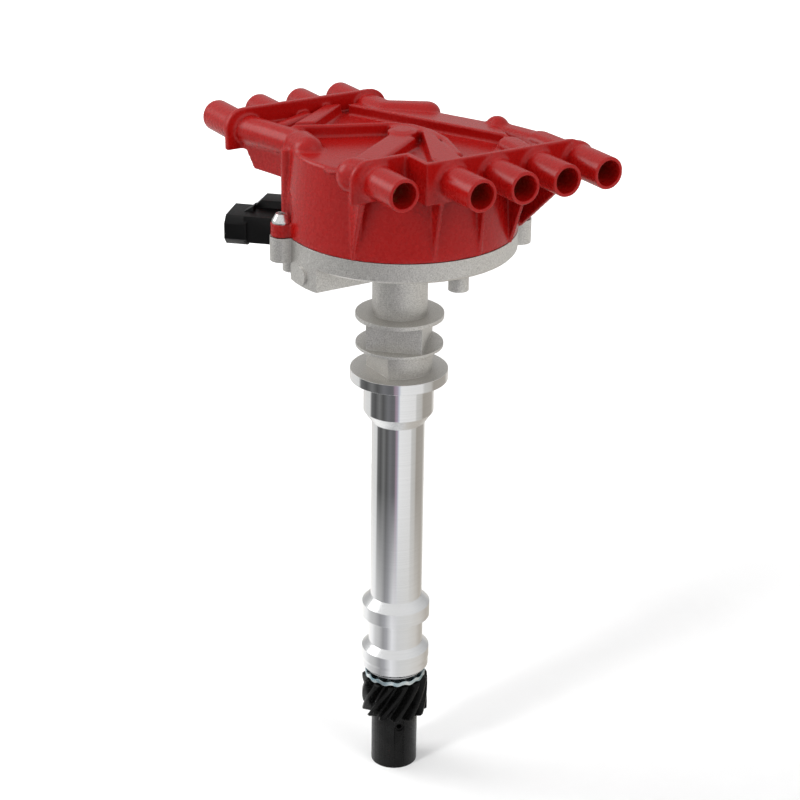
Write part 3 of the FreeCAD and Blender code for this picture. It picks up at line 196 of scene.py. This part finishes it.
class Nodes:
    """A short way to write a material's node tree."""

    def __init__(self, name):
        self.material = bpy.data.materials.new(name)
        self.material.use_nodes = True
        self.tree = self.material.node_tree
        self.tree.nodes.clear()
        self.shader = self.add("ShaderNodeBsdfPrincipled")
        self.output = self.add("ShaderNodeOutputMaterial")
        self.link(self.shader.outputs[0], self.output.inputs["Surface"])
        self.place = self.add("ShaderNodeTexCoord").outputs["Object"]

    def add(self, kind, **settings):
        node = self.tree.nodes.new(kind)
        for key, value in settings.items():
            setattr(node, key, value)
        return node

    def link(self, start, end):
        self.tree.links.new(start, end)

    def set(self, **values):
        for key, value in values.items():
            self.shader.inputs[key.replace("_", " ")].default_value = value

    def scaled(self, x, y, z):
        node = self.add("ShaderNodeMapping")
        node.inputs["Scale"].default_value = (x, y, z)
        self.link(self.place, node.inputs["Vector"])
        return node.outputs[0]

    def noise(self, scale, detail=3.0, rough=0.55, place=None):
        node = self.add("ShaderNodeTexNoise")
        node.inputs["Scale"].default_value = scale
        node.inputs["Detail"].default_value = detail
        node.inputs["Roughness"].default_value = rough
        self.link(place or self.place, node.inputs["Vector"])
        return node.outputs["Fac"]

    def cells(self, scale, place=None):
        node = self.add("ShaderNodeTexVoronoi")
        node.inputs["Scale"].default_value = scale
        self.link(place or self.place, node.inputs["Vector"])
        return node.outputs["Color"]

    def math(self, operation, a, b=0.0, c=0.0):
        node = self.add("ShaderNodeMath", operation=operation)
        for socket, value in zip(node.inputs, (a, b, c)):
            if isinstance(value, (int, float)):
                socket.default_value = value
            else:
                self.link(value, socket)
        return node.outputs[0]

    def spread(self, value, low, high, to_low=0.0, to_high=1.0):
        node = self.add("ShaderNodeMapRange")
        node.inputs["From Min"].default_value = low
        node.inputs["From Max"].default_value = high
        node.inputs["To Min"].default_value = to_low
        node.inputs["To Max"].default_value = to_high
        self.link(value, node.inputs["Value"])
        return node.outputs[0]

    def mixed(self, factor, first, second):
        node = self.add("ShaderNodeMix", data_type="RGBA")
        self.link(factor, node.inputs["Factor"])
        for socket, value in ((node.inputs[6], first), (node.inputs[7], second)):
            if isinstance(value, tuple):
                socket.default_value = (*value, 1.0)
            else:
                self.link(value, socket)
        return node.outputs[2]

    def blended(self, factor, first, second):
        node = self.add("ShaderNodeMix", data_type="FLOAT")
        self.link(factor, node.inputs["Factor"])
        for socket, value in ((node.inputs[2], first), (node.inputs[3], second)):
            if isinstance(value, (int, float)):
                socket.default_value = value
            else:
                self.link(value, socket)
        return node.outputs[0]

    def bump(self, height, distance, strength=1.0, under=None):
        node = self.add("ShaderNodeBump")
        node.inputs["Strength"].default_value = strength
        node.inputs["Distance"].default_value = distance
        self.link(height, node.inputs["Height"])
        if under:
            self.link(under, node.inputs["Normal"])
        return node.outputs[0]

    def rounded(self, radius):
        node = self.add("ShaderNodeBevel", samples=4)
        node.inputs["Radius"].default_value = radius
        return node.outputs[0]

    def edges(self, radius):
        # 0 on a flat face and more where the surface turns within the radius
        node = self.add("ShaderNodeVectorMath", operation="DOT_PRODUCT")
        self.link(self.rounded(radius), node.inputs[0])
        self.link(self.add("ShaderNodeNewGeometry").outputs["True Normal"], node.inputs[1])
        return self.math("SUBTRACT", 1.0, node.outputs["Value"])

    def shelter(self, reach):
        # 1 in the open and less in corners
        node = self.add("ShaderNodeAmbientOcclusion", samples=6)
        node.inputs["Distance"].default_value = reach
        return node.outputs["AO"]

    def axes(self):
        node = self.add("ShaderNodeSeparateXYZ")
        self.link(self.place, node.inputs[0])
        return node.outputs

    def radius(self):
        x, y, z = self.axes()
        across = self.math("MULTIPLY", x, x)
        return self.math("SQRT", self.math("MULTIPLY_ADD", y, y, across)), z

    def to(self, output, socket):
        self.link(output, self.shader.inputs[socket])


def red_moulding():
    # glass-filled red plastic: fine flow mottling, a soft gloss and a faint orange-peel
    n = Nodes("red_moulding")
    flow = n.noise(520, 2, 0.5)
    fine = n.noise(1300, 2, 0.5)
    broad = n.noise(38, 2)
    tone = n.math("MULTIPLY_ADD", flow, 0.6, n.math("MULTIPLY", broad, 0.4))
    body = n.mixed(n.spread(tone, 0.15, 0.85), (0.312, 0.0032, 0.0024), (0.348, 0.0042, 0.0032))
    n.to(body, "Base Color")
    n.to(n.spread(flow, 0.2, 0.8, 0.25, 0.30), "Roughness")
    coarse = n.bump(flow, 0.00005, 0.6)
    n.to(n.bump(fine, 0.00004, 0.6, coarse), "Normal")
    n.set(Specular_IOR_Level=0.34, IOR=1.5)
    return n.material


def black_moulding():
    n = Nodes("black_moulding")
    fine = n.noise(1300, 3, 0.6)
    broad = n.noise(60, 2)
    tone = n.mixed(n.spread(broad, 0.3, 0.7), (0.0015, 0.0015, 0.0016), (0.004, 0.004, 0.0042))
    n.to(tone, "Base Color")
    n.to(n.spread(fine, 0.3, 0.7, 0.36, 0.52), "Roughness")
    n.to(n.bump(fine, 0.00003, 0.6), "Normal")
    n.set(Specular_IOR_Level=0.2)
    return n.material


def casting():
    # blasted casting above the seat, turned and bright on the collar's rim, pilot, tube and bands
    n = Nodes("cast_housing")
    radius, z = n.radius()
    below = n.math("LESS_THAN", z, SEAT_Z)
    low = n.math("LESS_THAN", z, RIM_TOP_Z)
    rim = n.math("MULTIPLY", low, n.math("GREATER_THAN", radius, RIM_INNER_R))
    turned = n.math("MAXIMUM", below, rim)
    grain = n.noise(1900, 4, 0.7)
    lumps = n.noise(430, 3, 0.6)
    sparkle = n.cells(2600)
    cast = n.mixed(n.spread(grain, 0.3, 0.7), (0.49, 0.475, 0.450), (0.92, 0.905, 0.870))
    cast = n.mixed(n.spread(sparkle, 0.86, 1.0, 0.0, 0.5), cast, (0.9, 0.9, 0.9))
    lines = n.noise(1.0, 2, 0.6, n.scaled(12, 12, 4200))
    bright = n.mixed(n.spread(lines, 0.35, 0.65), (0.77, 0.775, 0.78), (0.83, 0.835, 0.84))
    # painted shade: the colour darkens in the corners, where the sky reaches less; and bright
    # edges, partly wear and partly a painted highlight
    shade = n.spread(n.shelter(0.010), 0.35, 0.90, 0.55, 1.0)
    worn_and_lit_edge = n.spread(n.edges(0.0005), 0.02, 0.25, 0.0, 0.6)
    # painted shade: a dark colour mixed in where the corners are sheltered
    cast = n.mixed(shade, (0.22, 0.205, 0.185), cast)
    # bright edges: partly wear, partly a painted highlight where the edges catch light
    cast = n.mixed(worn_and_lit_edge, cast, (0.92, 0.91, 0.89))
    n.to(n.mixed(turned, cast, bright), "Base Color")
    rough_cast = n.spread(grain, 0.3, 0.7, 0.34, 0.54)
    rough_bright = n.spread(lines, 0.3, 0.7, 0.04, 0.06)
    facing = n.add("ShaderNodeSeparateXYZ")
    n.link(n.add("ShaderNodeNewGeometry").outputs["True Normal"], facing.inputs[0])
    sloped = n.spread(n.math("ABSOLUTE", facing.outputs[2]), 0.35, 0.55)
    rough_turned = n.blended(sloped, rough_bright, 0.26)
    n.to(n.blended(turned, rough_cast, rough_turned), "Roughness")
    cast_height = n.math("MULTIPLY_ADD", lumps, 0.6, n.math("MULTIPLY", grain, 0.4))
    height = n.blended(turned, cast_height, n.math("MULTIPLY", lines, 0.002))
    n.to(n.bump(height, 0.00034, 0.9, n.rounded(0.0003)), "Normal")
    n.set(Metallic=1.0)
    return n.material


def plain_metal(name, low, high, roughness, scale, bump):
    n = Nodes(name)
    grain = n.noise(scale, 3, 0.6)
    n.to(n.mixed(n.spread(grain, 0.3, 0.7), low, high), "Base Color")
    smudge = n.noise(scale * 0.37, 3)
    n.to(n.spread(smudge, 0.3, 0.7, roughness * 0.75, roughness * 1.3), "Roughness")
    n.to(n.bump(grain, bump, 0.7), "Normal")
    n.set(Metallic=1.0)
    return n.material


def black_gear():
    n = Nodes("black_gear")
    grain = n.noise(1400, 3, 0.6)
    broad = n.noise(160, 2)
    tone = n.mixed(n.spread(broad, 0.3, 0.7), (0.002, 0.002, 0.002), (0.006, 0.006, 0.0058))
    n.to(tone, "Base Color")
    n.to(n.spread(grain, 0.3, 0.7, 0.22, 0.38), "Roughness")
    n.to(n.bump(grain, 0.00003, 0.6), "Normal")
    n.set(Metallic=0.0, Specular_IOR_Level=0.14)
    return n.material


def blue_zinc():
    n = Nodes("blue_zinc")
    cloud = n.noise(240, 3)
    tone = n.mixed(n.spread(cloud, 0.35, 0.65), (0.24, 0.38, 0.44), (0.74, 0.78, 0.78))
    n.to(tone, "Base Color")
    n.to(n.spread(n.noise(900), 0.3, 0.7, 0.16, 0.34), "Roughness")
    n.to(n.bump(n.noise(700), 0.00003, 0.5), "Normal")
    n.set(Metallic=1.0)
    return n.material


def carbon():
    n = Nodes("carbon")
    grain = n.noise(1800, 3)
    n.to(n.mixed(n.spread(grain, 0.3, 0.7), (0.02, 0.02, 0.02), (0.05, 0.05, 0.05)), "Base Color")
    n.to(n.spread(grain, 0.3, 0.7, 0.5, 0.7), "Roughness")
    n.to(n.bump(grain, 0.00003, 0.5), "Normal")
    return n.material


materials = {
    "cast_housing": casting(),
    "red_moulding": red_moulding(),
    "black_moulding": black_moulding(),
    "black_gear": black_gear(),
    "blue_zinc": blue_zinc(),
    "carbon": carbon(),
}
# name, darker and lighter colour, roughness, scale of the grain and depth of its bump
for row in (
    ("bright_screw", (0.62, 0.62, 0.62), (0.82, 0.82, 0.81), 0.20, 900, 0.00002),
    ("spring_wire", (0.42, 0.42, 0.42), (0.6, 0.6, 0.6), 0.3, 1200, 0.00002),
    ("bearing_bronze", (0.40, 0.26, 0.12), (0.55, 0.38, 0.20), 0.4, 2200, 0.00003),
    ("shaft_steel", (0.42, 0.42, 0.43), (0.58, 0.58, 0.59), 0.25, 1100, 0.00002),
    ("contact_metal", (0.58, 0.42, 0.18), (0.74, 0.58, 0.30), 0.28, 1000, 0.00002),
):
    materials[row[0]] = plain_metal(*row)


def dress_nodes():
    slot_of = {part["node"]: part["material_slot"] for part in frame["record"]["subparts"]}
    for name, piece in nodes_in.items():
        material = materials[slot_of[name]]
        if name == "roll_pin":
            material = materials["black_gear"]
        piece.data.materials.clear()
        piece.data.materials.append(material)
        for polygon in piece.data.polygons:
            polygon.use_smooth = True


def add_tube(shape, path, level, radius):
    # a chain of closed round bars, which the grid below joins to the cap
    points = [Vector((x, y, level)) for x, y in path]
    for point in points:
        bmesh.ops.create_uvsphere(shape, u_segments=32, v_segments=16, radius=radius,
                                  matrix=Matrix.Translation(point))
    for start, end in zip(points, points[1:]):
        along = end - start
        lie = along.to_track_quat("Z", "Y").to_matrix().to_4x4()
        place = Matrix.Translation((start + end) / 2) @ lie
        bmesh.ops.create_cone(shape, cap_ends=True, segments=32, radius1=radius, radius2=radius,
                              depth=along.length, matrix=place)


def gridded(cap):
    # the cap's outside and inside, with the fatter conduit, as one even grid of small faces
    shape = bmesh.new()
    shape.from_mesh(cap.data)
    bmesh.ops.remove_doubles(shape, verts=shape.verts, dist=WELD)
    for corner in shape.verts:
        if math.dist(corner.co[:2], DECK_CORNER) < DECK_CORNER_REACH:
            corner.co.x = DECK_CORNER_IN
    add_tube(shape, TUBE_PATH, TUBE_LEVEL, TUBE_RADIUS)
    add_tube(shape, LOBE_PATH, LOBE_LEVEL, LOBE_RADIUS)
    mesh = bpy.data.meshes.new("cap_form")
    shape.to_mesh(mesh)
    shape.free()
    form = bpy.data.objects.new("cap_form", mesh)
    bpy.context.scene.collection.objects.link(form)
    remesh = form.modifiers.new("grid", "REMESH")
    remesh.mode = "VOXEL"
    remesh.voxel_size = CAP_GRID
    graph = bpy.context.evaluated_depsgraph_get()
    result = bpy.data.meshes.new_from_object(form.evaluated_get(graph))
    bpy.data.objects.remove(form)
    bpy.data.meshes.remove(mesh)
    return result


def normals_of(mesh, places):
    mesh.vertices.foreach_set("co", places.ravel())
    mesh.update()
    normals = np.empty(places.size)
    mesh.vertex_normals.foreach_get("vector", normals)
    return normals.reshape(-1, 3)


def soften_feet(mesh):
    # rounds every edge a little, and fills the feet of the ridges, most of all on the deck
    total = len(mesh.vertices)
    places = np.empty(3 * total)
    mesh.vertices.foreach_get("co", places)
    places = places.reshape(-1, 3)
    ends = np.empty(2 * len(mesh.edges), dtype=np.int64)
    mesh.edges.foreach_get("vertices", ends)
    first, second = ends.reshape(-1, 2).T
    count = np.bincount(ends, minlength=total)[:, None]

    def pull():
        sums = np.empty_like(places)
        for axis in range(3):
            sums[:, axis] = np.bincount(first, weights=places[second, axis], minlength=total)
            sums[:, axis] += np.bincount(second, weights=places[first, axis], minlength=total)
        return sums / count - places

    for step in range(CAP_SOFTENING):
        places += CAP_SOFTENING_STRENGTH * pull()
    on_deck = (places[:, 2] > DECK_Z) & (np.abs(places[:, 1]) < FLANGE_INNER_Y)
    foot = np.where(on_deck, FOOT_STRENGTH_DECK, FOOT_STRENGTH_SIDE)
    for step in range(FOOT_PASSES):
        if step % NORMALS_EVERY == 0:
            normals = normals_of(mesh, places)
        move = pull()
        hollow = (move * normals).sum(axis=1) > 0
        places += np.where(hollow, foot, CREST_STRENGTH)[:, None] * move
    normals_of(mesh, places)


def cap_skin():
    # the moulded cap has no sharp corner: its edges and the feet of its ridges are all rounded
    mesh = gridded(nodes_in["distributor_cap"])
    soften_feet(mesh)
    mesh.materials.clear()
    mesh.materials.append(materials["red_moulding"])
    mesh.polygons.foreach_set("use_smooth", [True] * len(mesh.polygons))
    skin = bpy.data.objects.new("cap_skin", mesh)
    bpy.context.scene.collection.objects.link(skin)
    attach(skin, "body")
    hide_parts("distributor_cap")


def wavy_washer():
    # the whole ring is pressed into waves
    places = [corner.co for corner in nodes_in["dimpled_washer"].data.vertices]
    outer = max(math.hypot(place.x, place.y) for place in places)
    levels = [place.z for place in places]
    middle = (min(levels) + max(levels)) / 2 - WASHER_SINK
    corners = []
    faces = []
    for step in range(WASHER_STEPS):
        angle = 2 * math.pi * step / WASHER_STEPS
        wave = WASHER_WAVE * math.cos(WASHER_WAVES * angle)
        after = 4 * ((step + 1) % WASHER_STEPS)
        ring = ((WASHER_INNER, 1), (outer, 1), (outer, -1), (WASHER_INNER, -1))
        for index, (radius, side) in enumerate(ring):
            level = middle + wave + side * WASHER_HALF_THICK
            corners.append((radius * math.cos(angle), radius * math.sin(angle), level))
            beside = (index + 1) % 4
            faces.append((4 * step + index, 4 * step + beside, after + beside, after + index))
    mesh = bpy.data.meshes.new("wavy_washer")
    mesh.from_pydata(corners, [], faces)
    mesh.materials.append(materials["blue_zinc"])
    mesh.polygons.foreach_set("use_smooth", [True] * len(faces))
    washer = bpy.data.objects.new("wavy_washer", mesh)
    bpy.context.scene.collection.objects.link(washer)
    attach(washer, "rotating_group")
    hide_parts("dimpled_washer")
    return washer


def round_edges(piece, width):
    # a small bevel on the piece's sharp edges
    weld = piece.modifiers.new("weld", "WELD")
    weld.merge_threshold = WELD
    bevel = piece.modifiers.new("bevel", "BEVEL")
    bevel.width = width
    bevel.segments = EDGE_SEGMENTS
    bevel.limit_method = "ANGLE"
    bevel.angle_limit = math.radians(EDGE_ANGLE)
    bevel.harden_normals = True


def light(name, place, target, size, watts, in_gloss):
    data = bpy.data.lights.new(name, "AREA")
    data.shape = "DISK"
    data.size = size
    data.energy = watts
    lamp = bpy.data.objects.new(name, data)
    lamp.location = place
    lamp.rotation_euler = (target - place).to_track_quat("-Z", "Y").to_euler()
    lamp.visible_glossy = in_gloss
    bpy.context.scene.collection.objects.link(lamp)
    return lamp


def white_sky():
    world = bpy.data.worlds.new("sky")
    bpy.context.scene.world = world
    world.use_nodes = True
    tree = world.node_tree
    tree.nodes.clear()
    path = tree.nodes.new("ShaderNodeLightPath")
    seen = tree.nodes.new("ShaderNodeMath")
    seen.operation = "MAXIMUM"
    tree.links.new(path.outputs["Is Camera Ray"], seen.inputs[0])
    tree.links.new(path.outputs["Is Transmission Ray"], seen.inputs[1])
    plain = tree.nodes.new("ShaderNodeBackground")
    plain.inputs["Strength"].default_value = SKY_LIGHT
    mirror = tree.nodes.new("ShaderNodeBackground")
    # mirrored, it is brighter above and before the object than behind it
    looking = tree.nodes.new("ShaderNodeTexCoord")
    toward = tree.nodes.new("ShaderNodeVectorMath")
    toward.operation = "DOT_PRODUCT"
    toward.inputs[1].default_value = from_photo(0, -0.75, 0.66)
    tree.links.new(looking.outputs["Generated"], toward.inputs[0])
    level = tree.nodes.new("ShaderNodeMapRange")
    level.inputs["From Min"].default_value = -0.5
    level.inputs["From Max"].default_value = 0.7
    level.inputs["To Min"].default_value = SKY_MIRROR_BACK
    level.inputs["To Max"].default_value = SKY_MIRROR_FRONT
    tree.links.new(toward.outputs["Value"], level.inputs["Value"])
    tree.links.new(level.outputs[0], mirror.inputs["Strength"])
    white = tree.nodes.new("ShaderNodeBackground")
    for shader in (plain, mirror, white):
        shader.inputs["Color"].default_value = (1, 1, 1, 1)
    glossy = tree.nodes.new("ShaderNodeMixShader")
    tree.links.new(path.outputs["Is Glossy Ray"], glossy.inputs[0])
    tree.links.new(plain.outputs[0], glossy.inputs[1])
    tree.links.new(mirror.outputs[0], glossy.inputs[2])
    final = tree.nodes.new("ShaderNodeMixShader")
    tree.links.new(seen.outputs[0], final.inputs[0])
    tree.links.new(glossy.outputs[0], final.inputs[1])
    tree.links.new(white.outputs[0], final.inputs[2])
    output = tree.nodes.new("ShaderNodeOutputWorld")
    tree.links.new(final.outputs[0], output.inputs[0])


def make_floor():
    # a white sheet, lifted to the white of the background for the camera alone
    n = Nodes("white_floor")
    n.to(n.mixed(n.noise(60, 2), (0.80, 0.80, 0.80), (0.82, 0.82, 0.82)), "Base Color")
    n.set(Roughness=0.9, Specular_IOR_Level=0.1)
    path = n.add("ShaderNodeLightPath")
    glow = n.add("ShaderNodeEmission")
    x, y, _ = n.axes()
    distance = n.math("SQRT", n.math("MULTIPLY_ADD", x, x, n.math("MULTIPLY", y, y)))
    lift = n.spread(distance, FLOOR_NEAR_M, FLOOR_FAR_M, FLOOR_LIFT, FLOOR_LIFT_FAR)
    n.link(n.math("MULTIPLY", path.outputs["Is Camera Ray"], lift), glow.inputs["Strength"])
    both = n.add("ShaderNodeAddShader")
    n.link(n.shader.outputs[0], both.inputs[0])
    n.link(glow.outputs[0], both.inputs[1])
    n.link(both.outputs[0], n.output.inputs["Surface"])
    low = cad_box[0][2]
    sides = ((-1, -1), (1, -1), (1, 1), (-1, 1))
    corners = [(FLOOR_REACH_M * x, FLOOR_REACH_M * y, low) for x, y in sides]
    mesh = bpy.data.meshes.new("floor")
    mesh.from_pydata(corners, [], [(0, 1, 2, 3)])
    mesh.materials.append(n.material)
    floor = bpy.data.objects.new("floor", mesh)
    bpy.context.scene.collection.objects.link(floor)
    return floor


def ramp_of(n, position, colours):
    ramp = n.add("ShaderNodeValToRGB")
    stops = ramp.color_ramp.elements
    while len(stops) < len(colours):
        stops.new(0.5)
    for stop, (angle, colour) in zip(stops, colours):
        stop.position = (angle + 180) / 360
        stop.color = (*colour, 1)
    n.link(position, ramp.inputs[0])
    return ramp.outputs[0]


def grey_cards():
    # a round sheet of glowing grey and white cards on the floor, lit by no lamp and seen only in
    # the gloss of the parts, whose colours set what the metal and the cap mirror
    n = Nodes("grey_cards")
    x, y, _ = n.axes()
    yaw = math.radians(VIEW_YAW)
    right = n.math("MULTIPLY_ADD", y, -math.sin(yaw), n.math("MULTIPLY", x, math.cos(yaw)))
    away = n.math("MULTIPLY_ADD", y, math.cos(yaw), n.math("MULTIPLY", x, math.sin(yaw)))
    angle = n.math("ARCTAN2", right, n.math("MULTIPLY", away, -1.0))
    position = n.spread(angle, -math.pi, math.pi)
    distance = n.math("SQRT", n.math("MULTIPLY_ADD", x, x, n.math("MULTIPLY", y, y)))
    far = n.spread(distance, ROUND_NEAR_M, ROUND_FAR_M)
    level = n.mixed(far, ramp_of(n, position, ROUND_NEAR), ramp_of(n, position, ROUND_FAR))
    wide = n.spread(distance, ROUND_WIDE_FROM_M, ROUND_WIDE_M)
    level = n.mixed(wide, level, ramp_of(n, position, ROUND_WIDE))
    glow = n.add("ShaderNodeEmission")
    n.link(level, glow.inputs["Color"])
    n.link(glow.outputs[0], n.output.inputs["Surface"])
    height = cad_box[0][2] + CARDS_LIFT_M
    corners = []
    faces = []
    for step in range(CARDS_STEPS):
        angle = 2 * math.pi * step / CARDS_STEPS
        for radius in (CARDS_INNER_M, CARDS_OUTER_M):
            corners.append((radius * math.cos(angle), radius * math.sin(angle), height))
        start = 2 * step
        after = (start + 2) % (2 * CARDS_STEPS)
        faces.append((start, start + 1, after + 1, after))
    mesh = bpy.data.meshes.new("cards")
    mesh.from_pydata(corners, [], faces)
    mesh.materials.append(n.material)
    cards = bpy.data.objects.new("cards", mesh)
    bpy.context.scene.collection.objects.link(cards)
    cards.visible_camera = False
    cards.visible_diffuse = False
    cards.visible_shadow = False


dress_nodes()
cap_skin()
for name in ("position_sensor", "cap_screw_left", "cap_screw_right", "drive_gear"):
    round_edges(nodes_in[name], EDGE_ROUND)
round_edges(wavy_washer(), EDGE_ROUND)

# name, place to the photograph's right, away from its camera and up, height aimed at, size,
# watts, and whether the gloss of the parts mirrors it
for name, place, aim, size, watts, in_gloss in (
    ("key", (-0.55, 0.25, 1.0), 0.0, 0.55, KEY_WATTS, False),
    ("side", (-0.58, 0.12, 0.40), 0.1, 0.42, SIDE_WATTS, True),
    ("left", (-0.8, -0.7, 0.35), 0.0, 0.5, LEFT_WATTS, False),
    ("right", (0.8, -0.7, 0.75), 0.0, 0.9, RIGHT_WATTS, False),
):
    light(name, from_photo(*place), Vector((0, 0, aim)), size, watts, in_gloss)
white_sky()
floor = make_floor()
# this one lights the floor alone, for the soft streak of shadow
streak = light("streak", from_photo(-0.8, -0.75, 0.42), Vector(), 0.25, STREAK_WATTS, False)
floor_only = bpy.data.collections.new("floor_only")
floor_only.objects.link(floor)
streak.light_linking.receiver_collection = floor_only
grey_cards()

view = bpy.context.scene.view_settings
view.view_transform = "Standard"
